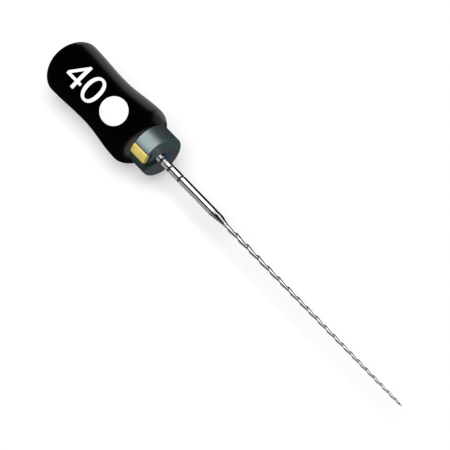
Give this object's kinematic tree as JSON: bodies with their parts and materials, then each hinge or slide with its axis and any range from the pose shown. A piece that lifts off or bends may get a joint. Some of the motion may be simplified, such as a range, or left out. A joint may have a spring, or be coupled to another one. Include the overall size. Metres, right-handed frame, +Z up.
{
  "type": "endodontic hand file",
  "caption": "Hand file for root canals: plastic grip, thin fluted steel shaft with ground depth marks, and a silicone stop with a direction marker that slides along the shaft.",
  "frame": {"origin": "under the middle of the whole length, on the surface the file lies on", "axes": "+X along the shaft to the tip, +Z up; the axis of the shaft is 2.12 mm above the origin"},
  "size_m": [0.034, 0.0042, 0.0042],
  "materials": {
    "handle_plastic": "satin moulded",
    "blade_steel": "fine ground, bright",
    "stop_silicone": "smooth, soft sheen",
    "marker_gold": "smooth, gold coloured",
    "print_white": "smooth"
  },
  "bodies": {
    "file": {"handle": "handle_plastic", "file_blade": "blade_steel", "size_digit_4": "print_white", "size_digit_0": "print_white", "size_dot": "print_white"},
    "stop": {"stop_disc": "stop_silicone", "stop_marker": "marker_gold"}
  },
  "joints": [
    {"name": "stop_slide", "type": "slide", "parent": "file", "child": "stop", "axis": [1, 0, 0], "range_m": [0, 0.0216]}
  ]
}
